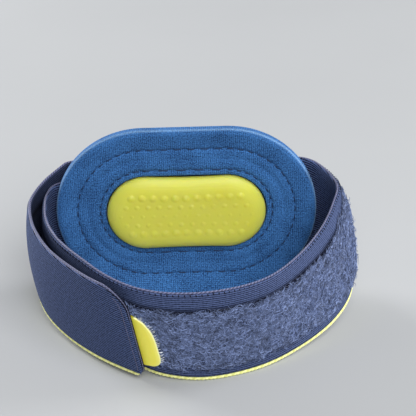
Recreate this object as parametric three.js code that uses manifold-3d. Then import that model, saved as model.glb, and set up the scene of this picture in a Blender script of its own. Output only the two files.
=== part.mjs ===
// Tennis elbow strap: an oval knit-covered pad with a nubbed pressure cushion in its front, and
// one woven elastic band that starts behind the pad's right end, runs round the arm opening,
// turns in a slot behind the pad's left end and comes back on the outside as a flap.
// Millimetres, +Z up. While it is shaped, y = 0 is the pad's front face and -Y is the arm's side.

import * as THREE from 'three';
import { mergeVertices } from 'three/addons/utils/BufferGeometryUtils.js';
import Module from 'manifold-3d';

const wasm = await Module();
wasm.setup();

// Driving sizes

const GAP = 0.3;                 // clearance left between pieces that touch

const PAD_HALF_STRAIGHT = 12.4;  // half of the straight stretch of every oval on the pad
const PAD_RADIUS = 28;           // end radius of the pad's outline
const PAD_THICKNESS = 3.8;
const PAD_CURL = 4.5;            // how far its lower edge, which it stands on, bends forwards
const PAD_CURL_HEIGHT = 12;      // the height below which it bends

const CUSHION_RADIUS = 12.2;     // end radius of the pressure cushion
const CUSHION_WAIST = 0.3;       // how far its long sides bow in at the middle
const CUSHION_SEAT = 1.5;        // depth of the pocket that it sits in
const CUSHION_HEIGHT = 2.75;     // how far its middle stands out of the pad

const NUB_PITCH = 3.38;          // between nubs along a row
const NUB_ROW_PITCH = 3.15;      // between rows

const BAND_WIDTH = 33;
const BAND_THICKNESS = 1.3;
const SELVEDGE_WIDTH = 1.2;
const BAND_HEIGHTS = [2.6, 4.5, 14, 22, 27, 31];  // rows of points between its two edges

const PILE_HEIGHT = 0.9;         // how far the loops stand above the band
const PILE_BOTTOM = 0.185;       // the pile's edges, as shares of the band's width
const PILE_TOP = 0.795;
const PILE_BEVEL = 0.02;         // how much its face draws in from each edge, as a share too
const PILE_START_Y = -2;         // it starts at this depth on the right
const PILE_END_X = -38.8;        // and ends here on the left, under the flap

const FLAP_SLANT = 2.1;          // the flap's end leans back by this much from bottom to top
const FLAP_TOP_ROUND = 8;        // corner radii of the flap's end
const FLAP_BOTTOM_ROUND = 4.5;
const FLAP_END_X = -10.6;        // where along the front the flap ends
const FLAP_END_ZONE = 30;        // the stretch over which its end is drawn to shape

const TAB_THICKNESS = 0.6;
const TAB_HIDDEN = 22;           // length of the hook tab under the flap

const PLATE_THICKNESS = 2.2;
// The plate's lower edge is level with the pad's, so that the brace stands on both
const PLATE = { left: -34, right: 27, bottom: 0, top: 44.5, round: 5 };
const SLOT = { left: -30.5, right: -26.3, bottom: 4.6, top: 41.9, round: 0.8 };
const SLOT_MARGIN = 4;           // solid plate to the right of the slot, as deep as the bar
const BAR_DEPTH = 2.5;           // thickness of the bar that the band turns round
const FOLD_RADIUS = 2.3;         // to the middle of the band's thickness

// Heights of the layers above the middle of the band's thickness
const PILE_FOOT = BAND_THICKNESS / 2 + GAP;
const TAB_FOOT = PILE_FOOT + PILE_HEIGHT + GAP;

// Depths of the layers behind the pad
const PLATE_FRONT = PAD_THICKNESS + GAP;
const BAND_ON_PLATE = PLATE_FRONT + PLATE_THICKNESS + GAP + BAND_THICKNESS / 2;
const BAND_IN_SLOT = PAD_THICKNESS + 2 * GAP + BAND_THICKNESS / 2;

// Tables

// Turns rows of numbers into objects with the named columns.
function table(columns, rows) {
  return rows.map((row) => Object.fromEntries(columns.map((name, i) => [name, row[i]])));
}

// The pad's section from the back to the cushion's pocket: inset from its outline, and depth.
const PAD_SECTION = table(['inset', 'y'], [
  [9.0, PAD_THICKNESS],          // flat back
  [1.3, PAD_THICKNESS],
  [0.35, PAD_THICKNESS - 0.3],   // back edge
  [0.0, PAD_THICKNESS - 0.8],
  [0.0, 1.0],                    // side
  [0.35, 0.4],
  [1.3, 0.08],                   // front edge
  [3.0, 0.0],                    // rim
  [5.9, 0.05],
  [6.6, 0.55],                   // outer ring of stitches
  [7.3, 0.1],
  [8.9, 0.0],
  [9.9, 0.35],                   // soft groove
  [11.1, 0.0],
  [13.0, 0.1],
  [13.65, 0.6],                  // inner ring of stitches
  [14.3, 0.2],
  [15.2, 0.1],                   // edge of the pocket
  [15.4, CUSHION_SEAT],
]);

// The cushion's section from its foot to its face: inset from its outline, and depth.
const CUSHION_SECTION = table(['inset', 'y'], [
  [0.4, CUSHION_SEAT - GAP],
  [0.0, CUSHION_SEAT - GAP - 0.4],
  [0.0, -0.4],
  [0.35, -1.1],
  [1.2, -1.75],
  [2.6, -2.3],
  [4.6, -2.65],
]);

// The rows of nubs from the top to the bottom.
const NUB_ROWS = table(['count', 'radius', 'height'], [
  [11, 1.2, 0.6],
  [12, 0.75, 0.4],
  [13, 0.5, 0.25],
  [12, 0.75, 0.4],
  [11, 1.2, 0.6],
]);

// The band's lower edge from its sewn end to the slot, seen from above as clockwise.
// lean is the outward tilt of the wall in degrees, and bulge is how far it is bowed outwards
// halfway up. The flap lies off this line by stand_off, and higher than it by rise.
const BAND_ROWS = table(['x', 'y', 'z', 'lean', 'stand_off', 'rise', 'bulge'], [
  [-4.0, BAND_ON_PLATE, 9.3, 0, 0, 0, 0],      // sewn end
  [12.0, BAND_ON_PLATE, 9.3, 0, 0, 0, 0],
  [27.0, BAND_ON_PLATE, 9.3, 0, 0, 0, 0],
  [36.5, 6.9, 9.3, 0, 0, 0, 0],                // back right
  [43.5, 4.6, 9.1, -5.5, 0, 0, 0.3],
  [48.6, -0.8, 8.5, -8.0, 0, 0, 0.8],
  [50.6, -8.5, 7.4, -8.0, 0, 0, 1.2],          // right
  [49.0, -18.0, 5.5, -9.2, 0, 0, 1.2],
  [43.2, -28.3, 3.4, -6.2, 0, 0, 0.8],
  [32.6, -38.3, 1.2, 1, 0, 0, 0.4],            // front right
  [20.0, -46.5, -0.1, 7, 3.8, 0, 0],
  [4.5, -51.2, -0.2, 9, 3.8, 0, 0],            // front
  [-8.0, -49.4, 0.6, 11.5, 3.8, 0.5, 0],
  [-17.0, -43.8, 1.7, 12.5, 3.8, -0.4, 0],
  [-25.5, -36.4, 2.6, 10.5, 3.8, -1.2, 0.2],   // front left
  [-33.6, -26.6, 3.1, 8.5, 4.0, -1.2, 0.7],
  [-38.8, -17.5, 3.4, 5.2, 4.5, -0.4, 1.3],
  [-41.8, -8.0, 3.5, 1.7, 4.5, 0.8, 1.7],      // left
  [-42.5, -1.0, 3.3, 0.2, 3.0, 1.4, 1.5],
  [-41.1, 3.8, 3.4, 0, 2.0, 2.4, 0.8],
  [-37.0, BAND_IN_SLOT, 4.3, 0, 5.0, 3.6, 0],  // behind the pad's left end
  [-34.0, BAND_IN_SLOT, 4.75, 0, 5.6, 3.7, 0],
  [SLOT.left - 0.5, BAND_IN_SLOT, 5.2, 0, 2 * FOLD_RADIUS, 3.0, 0],
]);

// The lip of the hook tab: height on the band, and reach past the flap's end.
const TAB_LIP = table(['height', 'reach'], [
  [5.4, 0.6],
  [6.0, 3.2],
  [7.2, 4.4],
  [9.0, 4.85],
  [12.2, 4.75],
  [16.4, 4.5],
  [19.8, 3.8],
  [22.2, 2.6],
  [23.6, 0.8],
]);

// Solids

// A closed geometry from points and triangles, turned so that its faces point out.
function solid(points, triangles) {
  const volume = triangles.reduce((sum, [a, b, c]) => {
    const across = points[b].clone().cross(points[c]);
    return sum + points[a].dot(across);
  }, 0);
  const order = volume > 0 ? triangles : triangles.map(([a, b, c]) => [a, c, b]);
  const geometry = new THREE.BufferGeometry().setFromPoints(points);
  geometry.setIndex(order.flat());
  return geometry;
}

// Two closed rows of triangles between ring a and ring b, each of count points.
function between(a, b, count) {
  const triangles = [];
  for (let i = 0; i < count; i++) {
    const j = (i + 1) % count;
    triangles.push([a + i, a + j, b + j], [a + i, b + j, b + i]);
  }
  return triangles;
}

// A solid through rings of points, closed at both ends by a fan to a middle point.
function lofted(rings, firstMiddle, lastMiddle) {
  const count = rings[0].length;
  const points = [...rings.flat(), firstMiddle, lastMiddle];
  const first = points.length - 2;
  const last = points.length - 1;
  const lastRing = (rings.length - 1) * count;
  const triangles = [];
  for (let r = 0; r + 1 < rings.length; r++) {
    triangles.push(...between(r * count, (r + 1) * count, count));
  }
  for (let i = 0; i < count; i++) {
    const j = (i + 1) % count;
    triangles.push([first, j, i], [last, lastRing + i, lastRing + j]);
  }
  return solid(points, triangles);
}

// A solid sheet: at(u, v, side) gives the points of its two faces, with side 0 and 1.
function sheet(stepsU, stepsV, at) {
  const row = stepsV + 1;
  const face = (stepsU + 1) * row;
  const points = [];
  for (const side of [0, 1]) {
    for (let i = 0; i <= stepsU; i++) {
      for (let j = 0; j <= stepsV; j++) points.push(at(i / stepsU, j / stepsV, side));
    }
  }
  const triangles = [];
  const quad = (a, b, c, d) => triangles.push([a, b, c], [a, c, d]);
  for (let i = 0; i < stepsU; i++) {
    for (let j = 0; j < stepsV; j++) {
      const a = i * row + j;
      const b = a + row;
      quad(a, a + 1, b + 1, b);
      quad(face + a, face + b, face + b + 1, face + a + 1);
    }
    const low = i * row;
    const high = low + stepsV;
    quad(low, low + row, face + low + row, face + low);
    quad(high, face + high, face + high + row, high + row);
  }
  for (let j = 0; j < stepsV; j++) {
    const end = stepsU * row + j;
    quad(j, face + j, face + j + 1, j + 1);
    quad(end, end + 1, face + end + 1, face + end);
  }
  return solid(points, triangles);
}

function toManifold(geometry) {
  const bare = geometry.clone();
  bare.deleteAttribute('normal');
  bare.deleteAttribute('uv');
  const merged = mergeVertices(bare, 1e-4);
  const vertProperties = new Float32Array(merged.attributes.position.array);
  const triVerts = new Uint32Array(merged.index.array);
  return new wasm.Manifold(new wasm.Mesh({ numProp: 3, vertProperties, triVerts }));
}

function fromManifold(body) {
  const mesh = body.getMesh();
  const geometry = new THREE.BufferGeometry();
  geometry.setAttribute('position', new THREE.BufferAttribute(mesh.vertProperties, 3));
  geometry.setIndex(new THREE.BufferAttribute(mesh.triVerts, 1));
  return geometry;
}

// Pad and cushion

// The points of an oval in a plane of depth y, with its long sides bowed in by waist.
function oval(radius, y, waist, stepsEnd, stepsSide) {
  const points = [];
  for (const end of [1, -1]) {
    for (let i = 0; i <= stepsEnd; i++) {
      const angle = Math.PI * (i / stepsEnd - 0.5);
      const x = end * (PAD_HALF_STRAIGHT + radius * Math.cos(angle));
      points.push(new THREE.Vector3(x, y, PAD_RADIUS + end * radius * Math.sin(angle)));
    }
    for (let i = 1; i < stepsSide; i++) {
      const along = 1 - 2 * i / stepsSide;
      const half = radius - waist * (1 - along * along);
      points.push(new THREE.Vector3(end * along * PAD_HALF_STRAIGHT, y, PAD_RADIUS + end * half));
    }
  }
  return points;
}

const middle = (y) => new THREE.Vector3(0, y, PAD_RADIUS);

// Bends the foot of the pad towards the front.
function curled(point) {
  const share = Math.max(0, 1 - point.z / PAD_CURL_HEIGHT);
  return point.setY(point.y - PAD_CURL * share * share);
}

function pad() {
  const rings = PAD_SECTION.map(({ inset, y }) => {
    return oval(PAD_RADIUS - inset, y, 0, 22, 2).map(curled);
  });
  return lofted(rings, middle(PAD_THICKNESS), middle(CUSHION_SEAT));
}

function pressureCushion() {
  const rings = CUSHION_SECTION.map(({ inset, y }) => {
    return oval(CUSHION_RADIUS - inset, y, CUSHION_WAIST, 16, 6);
  });
  let body = toManifold(lofted(rings, middle(CUSHION_SEAT - GAP), middle(-CUSHION_HEIGHT)));
  const face = CUSHION_SECTION.at(-1).y;
  NUB_ROWS.forEach(({ count, radius, height }, r) => {
    for (let i = 0; i < count; i++) {
      const nub = new THREE.SphereGeometry(1, 6, 4).scale(radius, height, radius);
      const x = (i - (count - 1) / 2) * NUB_PITCH;
      const bow = Math.max(0, 1 - (x / PAD_HALF_STRAIGHT) ** 2) * CUSHION_WAIST / 2;
      const z = PAD_RADIUS + ((NUB_ROWS.length - 1) / 2 - r) * (NUB_ROW_PITCH - bow);
      body = body.add(toManifold(nub.translate(x, face, z)));
    }
  });
  return fromManifold(body);
}

// Band

const vectors = (rows, a, b, c) => rows.map((row) => new THREE.Vector3(row[a], row[b], row[c]));
const edgeCurve = new THREE.CatmullRomCurve3(vectors(BAND_ROWS, 'x', 'y', 'z'));
const wallCurve = new THREE.CatmullRomCurve3(
  vectors(BAND_ROWS, 'lean', 'stand_off', 'rise'), false, 'catmullrom', 0.5);
const bulgeCurve = new THREE.SplineCurve(BAND_ROWS.map(({ bulge }, i) => new THREE.Vector2(i, bulge)));

const RING_STEPS = 80;
const FOLD_STEPS = 8;
const FLAP_STEPS = 32;
const SEARCH_STEPS = 2000;       // how finely a place on the front half is looked for
const UP = new THREE.Vector3(0, 0, 1);

// The share of the lower edge's length at which its front half first passes x.
function shareAtX(x) {
  let step = SEARCH_STEPS / 2;
  while (edgeCurve.getPoint(step / SEARCH_STEPS).x > x) step++;
  return step / SEARCH_STEPS;
}

const flapEndShare = shareAtX(FLAP_END_X);

// A place on the ring at a share of its length, and the flap's place outside it.
function ringPlace(share) {
  const point = edgeCurve.getPoint(share);
  const lean = wallCurve.getPoint(share).x;
  const bulge = bulgeCurve.getPoint(share).y;
  return { point, lean, bulge };
}

function flapPlace(share) {
  const { point, lean, bulge } = ringPlace(share);
  const { y: standOff, z: rise } = wallCurve.getPoint(share);
  const out = UP.clone().cross(edgeCurve.getTangent(share)).normalize();
  point.addScaledVector(out, standOff).addScaledVector(UP, rise);
  return { point, lean: -lean, bulge: -bulge };
}

// Places along the lower edge: the ring, the turn round the slot's bar, and the flap.
function bandPlaces() {
  const ring = [];
  for (let i = 0; i <= RING_STEPS; i++) ring.push(ringPlace(i / RING_STEPS));
  const flap = [];
  for (let i = 0; i <= FLAP_STEPS; i++) {
    flap.push(flapPlace(THREE.MathUtils.lerp(1, flapEndShare, i / FLAP_STEPS)));
  }
  const start = ring.at(-1).point;
  const finish = flap[0].point;
  const fold = [];
  for (let i = 1; i < FOLD_STEPS; i++) {
    const share = i / FOLD_STEPS;
    const angle = Math.PI * share;
    const x = start.x + FOLD_RADIUS * Math.sin(angle);
    const y = start.y + FOLD_RADIUS * (1 - Math.cos(angle));
    const z = THREE.MathUtils.lerp(start.z, finish.z, share);
    fold.push({ point: new THREE.Vector3(x, y, z), lean: 0, bulge: 0 });
  }
  return [...ring, ...fold, ...flap];
}

// Adds to each place its distance along the band, the direction across the band and the
// direction away from the face that carries the loops.
function bandFrames(places) {
  let distance = 0;
  return places.map(({ point, lean, bulge }, i) => {
    const before = places[Math.max(i - 1, 0)].point;
    const after = places[Math.min(i + 1, places.length - 1)].point;
    const along = after.clone().sub(before).normalize();
    const side = UP.clone().cross(along).normalize();
    const tilt = THREE.MathUtils.degToRad(lean);
    const across = UP.clone().multiplyScalar(Math.cos(tilt)).addScaledVector(side, Math.sin(tilt));
    const out = across.clone().cross(along).normalize();
    if (i > 0) distance += point.distanceTo(before);
    return { distance, point, across, out, bulge };
  });
}

const frames = bandFrames(bandPlaces());
const bandLength = frames.at(-1).distance;

// The point at a distance along the band, a height across it and a lift off its middle.
function onBand(distance, height, lift) {
  const limited = THREE.MathUtils.clamp(distance, 0, bandLength);
  const next = Math.max(1, frames.findIndex((frame) => frame.distance >= limited - 1e-9));
  const a = frames[next - 1];
  const b = frames[next];
  const share = (limited - a.distance) / (b.distance - a.distance);
  const point = a.point.clone().lerp(b.point, share);
  const across = a.across.clone().lerp(b.across, share).normalize();
  const out = a.out.clone().lerp(b.out, share).normalize();
  const up = height / BAND_WIDTH;
  const bowed = THREE.MathUtils.lerp(a.bulge, b.bulge, share) * 4 * up * (1 - up);
  return point.addScaledVector(across, height).addScaledVector(out, lift + bowed);
}

// How far the flap's end is set back at a height: a slant with two rounded corners.
function flapSetBack(height) {
  const corner = (radius, inside) => {
    const short = Math.max(radius - inside, 0);
    return radius - Math.sqrt(radius * radius - short * short);
  };
  const slant = FLAP_SLANT * height / BAND_WIDTH;
  return slant + corner(FLAP_BOTTOM_ROUND, height) + corner(FLAP_TOP_ROUND, BAND_WIDTH - height);
}

// A distance along the band, drawn back towards the flap's shaped end.
function shapedDistance(distance, height) {
  const share = Math.max(0, 1 - (bandLength - distance) / FLAP_END_ZONE);
  return distance - share * flapSetBack(height);
}

const lastStep = frames.length - 1;

function band() {
  const bottom = SELVEDGE_WIDTH + GAP;
  const heights = [bottom, ...BAND_HEIGHTS, BAND_WIDTH];
  return sheet(lastStep, heights.length - 1, (u, v, side) => {
    const height = heights[Math.round(v * (heights.length - 1))];
    const distance = shapedDistance(frames[Math.round(u * lastStep)].distance, height);
    return onBand(distance, height, (side - 0.5) * BAND_THICKNESS);
  });
}

// The lower edge, pressed flat where the strap stands on it.
function yellowSelvedge() {
  return sheet(lastStep, 1, (u, v, side) => {
    const height = v * SELVEDGE_WIDTH;
    const distance = shapedDistance(frames[Math.round(u * lastStep)].distance, height);
    const point = onBand(distance, height, (side - 0.5) * BAND_THICKNESS);
    return point.setZ(Math.max(point.z, 0));
  });
}

// The distance along the band at a share of the ring's length.
function distanceAt(share) {
  const step = Math.floor(share * RING_STEPS);
  const part = share * RING_STEPS - step;
  return THREE.MathUtils.lerp(frames[step].distance, frames[step + 1].distance, part);
}

function loopPile() {
  const from = frames.find(({ point }) => point.y < PILE_START_Y).distance;
  const to = distanceAt(shareAtX(PILE_END_X));
  return sheet(50, 3, (u, v, side) => {
    const edge = THREE.MathUtils.lerp(PILE_BOTTOM, PILE_TOP, v);
    const share = edge + side * PILE_BEVEL * (1 - 2 * v);
    return onBand(from + u * (to - from), share * BAND_WIDTH, PILE_FOOT + side * PILE_HEIGHT);
  });
}

function hookTab() {
  const end = distanceAt(flapEndShare);
  const lip = new THREE.SplineCurve(TAB_LIP.map(({ height, reach }) => new THREE.Vector2(height, reach)));
  return sheet(8, 12, (u, v, side) => {
    const { x: height, y: reach } = lip.getPoint(v);
    const tip = end - reach + flapSetBack(height);
    const root = end + TAB_HIDDEN;
    return onBand(root + u * (tip - root), height, TAB_FOOT + side * TAB_THICKNESS);
  });
}

// Slot plate

// An upright rectangle with rounded corners, as an outline in x and z.
function roundedOutline({ left, right, bottom, top, round }) {
  const outline = new THREE.Shape();
  outline.absarc(right - round, bottom + round, round, -Math.PI / 2, 0);
  outline.absarc(right - round, top - round, round, 0, Math.PI / 2);
  outline.absarc(left + round, top - round, round, Math.PI / 2, Math.PI);
  outline.absarc(left + round, bottom + round, round, Math.PI, Math.PI * 1.5);
  return outline;
}

// An outline in x and z given depth from one y to another.
function slabInDepth(outline, fromY, toY) {
  const settings = { depth: toY - fromY, bevelEnabled: false, curveSegments: 6 };
  return new THREE.ExtrudeGeometry(outline, settings).rotateX(Math.PI / 2).translate(0, toY, 0);
}

function slotPlate() {
  const barFront = BAND_IN_SLOT + FOLD_RADIUS - BAR_DEPTH / 2;
  const barBack = barFront + BAR_DEPTH;
  const frame = { ...PLATE, right: SLOT.right + SLOT_MARGIN };
  const path = { ...SLOT, left: PLATE.left - 1 };
  const plate = toManifold(slabInDepth(roundedOutline(PLATE), PLATE_FRONT, PLATE_FRONT + PLATE_THICKNESS));
  const slotFrame = toManifold(slabInDepth(roundedOutline(frame), PLATE_FRONT, barBack));
  const hole = toManifold(slabInDepth(roundedOutline(SLOT), 0, 2 * barBack));
  const bandPath = toManifold(slabInDepth(roundedOutline(path), 0, barFront));
  return fromManifold(plate.add(slotFrame).subtract(hole).subtract(bandPath));
}

// The assembly

const knit = { color: 0x2c659e, roughness: 0.95, metalness: 0 };
const silicone = { color: 0xd6d62c, roughness: 0.5, metalness: 0 };
const elastic = { color: 0x3a4a78, roughness: 0.9, metalness: 0 };
const brushedLoops = { color: 0x506494, roughness: 1, metalness: 0 };
const yellowYarn = { color: 0xd9dd3a, roughness: 0.85, metalness: 0 };
const hookPlastic = { color: 0xdcd42a, roughness: 0.45, metalness: 0 };
const navyPlastic = { color: 0x26304d, roughness: 0.5, metalness: 0 };

const PIECES = [
  ['pad', pad(), knit],
  ['pressure_cushion', pressureCushion(), silicone],
  ['band', band(), elastic],
  ['loop_pile', loopPile(), brushedLoops],
  ['yellow_selvedge', yellowSelvedge(), yellowYarn],
  ['hook_tab', hookTab(), hookPlastic],
  ['slot_plate', slotPlate(), navyPlastic],
];

const strap = new THREE.Group();
for (const [name, geometry, finish] of PIECES) {
  const mesh = new THREE.Mesh(geometry, new THREE.MeshStandardMaterial(finish));
  mesh.name = name;
  strap.add(mesh);
}

// The origin is under the middle of the whole strap, on the surface that it stands on.
const box = new THREE.Box3().setFromObject(strap);
strap.position.set(-(box.min.x + box.max.x) / 2, -(box.min.y + box.max.y) / 2, -box.min.z);

export default strap;
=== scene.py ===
# %% [markdown]
# # Dressing an elbow brace
# The brace is an oval knit pad with a yellow pressure cushion, held on the forearm by one long
# elastic band. The band starts behind the pad, runs round the arm, turns in a slot and comes back
# on the outside as a flap, which closes on a field of brushed loops.
# The plain solids come in first as a fixed frame. Each soft piece is then built again here, finer,
# in the same place, so that nothing has to be fitted by eye.

# %% Load the frame
import math

import bpy
import numpy as np
from mathutils import Matrix, Vector


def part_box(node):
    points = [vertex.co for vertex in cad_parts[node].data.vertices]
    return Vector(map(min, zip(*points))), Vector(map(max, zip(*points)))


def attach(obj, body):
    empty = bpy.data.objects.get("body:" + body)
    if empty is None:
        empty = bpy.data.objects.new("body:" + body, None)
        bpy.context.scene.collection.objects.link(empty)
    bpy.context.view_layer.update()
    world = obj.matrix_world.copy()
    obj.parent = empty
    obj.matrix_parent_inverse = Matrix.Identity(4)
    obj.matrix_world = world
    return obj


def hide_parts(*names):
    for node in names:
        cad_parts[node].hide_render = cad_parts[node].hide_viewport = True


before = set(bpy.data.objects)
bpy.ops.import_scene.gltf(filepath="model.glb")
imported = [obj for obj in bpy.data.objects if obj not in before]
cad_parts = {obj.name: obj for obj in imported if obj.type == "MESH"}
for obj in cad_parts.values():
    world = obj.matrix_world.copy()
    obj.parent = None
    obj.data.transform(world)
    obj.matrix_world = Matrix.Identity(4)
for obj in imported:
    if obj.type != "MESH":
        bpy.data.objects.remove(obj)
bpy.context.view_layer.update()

# %% [markdown]
# ## Where the brace lies
# Sizes are easier to read in millimetres from the middle of the pad: x along the pad, y = 0 on its
# front face with the arm on the minus side, z up from the surface it stands on. The pad's own box
# tells where that point lies in the frame, so one shift puts every piece in its place.

# %% From the pad's own millimetres to the frame
PAD_THICKNESS = 3.8

pad_low, pad_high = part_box("pad")
PAD_MIDDLE = np.array([(pad_low.x + pad_high.x) / 2, pad_high.y - PAD_THICKNESS / 1000, pad_low.z])


def in_frame(points):
    """From millimetres round the pad to the frame's metres."""
    return np.asarray(points, float) / 1000 + PAD_MIDDLE


print("the pad's middle in the frame:", PAD_MIDDLE.round(4))

# %% [markdown]
# ## Making a mesh from arrays
# Nearly all pieces here are rows of points joined to rows of points. Writing the arrays straight
# into a mesh is quicker than adding faces one at a time, and the same helper can give every corner
# its place in millimetres, which the weave patterns use later as their ruler. It can also keep marks
# on the points, such as painted shade along a seam or a painted highlight along an edge, so that
# a material can answer to them.

# %% Mesh helper
UP = np.array([0.0, 0.0, 1.0])


def make_piece(name, points, faces, ruler=None, **marks):
    """A smooth mesh that rides with the brace; ruler is a place in millimetres for every point."""
    mesh = bpy.data.meshes.new(name)
    mesh.from_pydata(in_frame(points), [], faces if isinstance(faces, list) else faces.tolist())
    mesh.polygons.foreach_set("use_smooth", np.ones(len(mesh.polygons), bool))
    if ruler is not None:
        corner = np.zeros(len(mesh.loops), np.int32)
        mesh.loops.foreach_get("vertex_index", corner)
        layer = mesh.uv_layers.new(name="millimetres")
        layer.data.foreach_set("uv", np.asarray(ruler, np.float32)[corner].ravel())
    for mark, values in marks.items():
        layer = mesh.attributes.new(mark, "FLOAT", "POINT")
        layer.data.foreach_set("value", np.asarray(values, np.float32).ravel())
    mesh.update()
    piece = bpy.data.objects.new(name, mesh)
    bpy.context.scene.collection.objects.link(piece)
    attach(piece, "root")
    print(name, len(mesh.polygons), "faces")
    return piece


def grid_faces(rows, columns, closed):
    """Four-cornered faces between rows of points; closed joins each row's end to its start."""
    a = np.arange(rows - 1)[:, None] * columns
    i = np.arange(columns if closed else columns - 1)[None, :]
    j = (i + 1) % columns
    return np.stack([a + i, a + j, a + columns + j, a + columns + i], -1).reshape(-1, 4)


def tube_faces(rows, columns):
    """Faces round a closed sweep, with a cap on each end."""
    first, last = list(range(columns))[::-1], list(range((rows - 1) * columns, rows * columns))
    return grid_faces(rows, columns, True).tolist() + [first, last]


# %% [markdown]
# ## Nodes and colours
# A material is a small graph of nodes. One helper adds a node, sets its values and links its
# inputs, so that each material reads as a list. Colours are written as they would be picked on
# screen and turned to the linear values that the shader works in. The last helper joins the end of
# the graph to the shader and puts the material on its pieces.

# %% Colour and node helpers
def linear(colour):
    """From a colour as it is picked on screen to the shader's values."""
    parts = [int(colour[i:i + 2], 16) / 255 for i in (1, 3, 5)]
    return (*[c / 12.92 if c <= 0.04045 else ((c + 0.055) / 1.055) ** 2.4 for c in parts], 1.0)


def add_node(tree, kind, inputs=None, stops=(), **settings):
    """Inputs are values or sockets to link. Stops are a ramp's places and colours."""
    node = tree.nodes.new("ShaderNode" + kind)
    for name, value in settings.items():
        setattr(node, name, value)
    for i, (place, colour) in enumerate(stops):
        node.color_ramp.elements[i].position = place
        node.color_ramp.elements[i].color = linear(colour)
    for socket, value in (inputs or {}).items():
        if isinstance(value, bpy.types.NodeSocket):
            tree.links.new(value, node.inputs[socket])
        else:
            node.inputs[socket].default_value = value
    return node


def new_material(name, **values):
    """A material with its shader's own values set, and its nodes."""
    material = bpy.data.materials.new(name)
    material.use_nodes = True
    shader = material.node_tree.nodes["Principled BSDF"]
    for socket, value in values.items():
        shader.inputs[socket.replace("_", " ")].default_value = value
    return material, material.node_tree


def put_on(pieces, material, colour, relief=None):
    """Links colour and relief to the shader, and gives the material to the pieces."""
    tree = material.node_tree
    shader = tree.nodes["Principled BSDF"]
    tree.links.new(colour, shader.inputs["Base Color"])
    if relief:
        tree.links.new(relief.outputs[0], shader.inputs["Normal"])
    for piece in pieces:
        piece.data.materials.append(material)
    print(material.name, "on", [piece.name for piece in pieces])


print("half grey on screen is", round(linear("#808080")[0], 2), "in the shader")


# %% [markdown]
# ## The camera
# The brace is seen from in front and 28 degrees above, from about half a metre, so the far side of
# the loop looks only a little smaller than the near side. A long lens from that distance gives the
# same flat view. The roll of a degree and a half lets the pad's top edge rise to the right.

# %% Camera
VIEW_DISTANCE = 520.0
VIEW_UP = math.radians(28)
VIEW_ROLL = math.radians(-1.5)
VIEW_POINT = (6.7, 13.4, 22.0)
PIXEL_AT_VIEW_POINT = 0.32       # millimetres
IMAGE_WIDTH = 416
SENSOR_WIDTH = 36.0

forward = np.array([0, math.cos(VIEW_UP), -math.sin(VIEW_UP)])
level = np.array([1.0, 0, 0])
steep = np.cross(level, forward)
right = math.cos(VIEW_ROLL) * level + math.sin(VIEW_ROLL) * steep
top = math.cos(VIEW_ROLL) * steep - math.sin(VIEW_ROLL) * level

camera = bpy.data.objects.new("camera", bpy.data.cameras.new("camera"))
camera.data.sensor_width = SENSOR_WIDTH
camera.data.lens = VIEW_DISTANCE / PIXEL_AT_VIEW_POINT / IMAGE_WIDTH * SENSOR_WIDTH
turn = Matrix(np.stack([right, top, -forward], 1).tolist()).to_4x4()
camera.matrix_world = Matrix.Translation(in_frame(VIEW_POINT - VIEW_DISTANCE * forward)) @ turn
bpy.context.scene.collection.objects.link(camera)
bpy.context.scene.camera = camera
print("lens", round(camera.data.lens, 1), "mm")

# %% [markdown]
# ## The path of the band
# The band is one strip of webbing. Its lower edge is a curve through a short table of places, each
# with the lean of the wall there and how far outside that line the returning flap lies. A curve
# through the places could be drawn with Blender's curve tools, but the weave, the loops and the
# stitches all need to know how far along and across the band they are, so the path is kept as
# arrays that any of them can ask.

# %% Table of places
BAND_WIDTH = 33.0
BAND_THICKNESS = 1.3
FOLD_RADIUS = 2.3
FLAP_END_X = -10.6

# x, y, z of the lower edge; lean in degrees; the flap's stand-off and rise; bulge of the wall
BAND_PLACES = np.array([
    (-4.0, 7.25, 9.3, 0, 0, 0, 0),          # sewn end
    (12.0, 7.25, 9.3, 0, 0, 0, 0),
    (27.0, 7.25, 9.3, 0, 0, 0, 0),
    (36.5, 6.9, 9.3, 0, 0, 0, 0),           # back right
    (43.5, 4.6, 9.1, -5.5, 0, 0, 0.3),
    (48.6, -0.8, 8.5, -8.0, 0, 0, 0.8),
    (50.6, -8.5, 7.4, -8.0, 0, 0, 1.2),     # right
    (49.0, -18.0, 5.5, -9.2, 0, 0, 1.2),
    (43.2, -28.3, 3.4, -6.2, 0, 0, 0.8),
    (32.6, -38.3, 1.2, 1, 0, 0, 0.4),       # front right
    (20.0, -46.5, -0.1, 7, 3.8, 0, 0),
    (4.5, -51.2, -0.2, 9, 3.8, 0, 0),       # front
    (-8.0, -49.4, 0.6, 11.5, 3.8, 0.5, 0),
    (-17.0, -43.8, 1.7, 12.5, 3.8, -0.4, 0),
    (-25.5, -36.4, 2.6, 10.5, 3.8, -1.2, 0.2),  # front left
    (-33.6, -26.6, 3.1, 8.5, 4.0, -1.2, 0.7),
    (-38.8, -17.5, 3.4, 5.2, 4.5, -0.4, 1.3),
    (-41.8, -8.0, 3.5, 1.7, 4.5, 0.8, 1.7),     # left
    (-42.5, -1.0, 3.3, 0.2, 3.0, 1.4, 1.5),
    (-41.1, 3.8, 3.4, 0, 2.0, 2.4, 0.8),
    (-37.0, 5.05, 4.3, 0, 5.0, 3.6, 0),     # behind the pad's left end
    (-34.0, 5.05, 4.75, 0, 5.6, 3.7, 0),
    (-31.0, 5.05, 5.2, 0, 4.6, 3.0, 0),     # slot
])
print(len(BAND_PLACES), "places from the sewn end to the slot")


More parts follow.
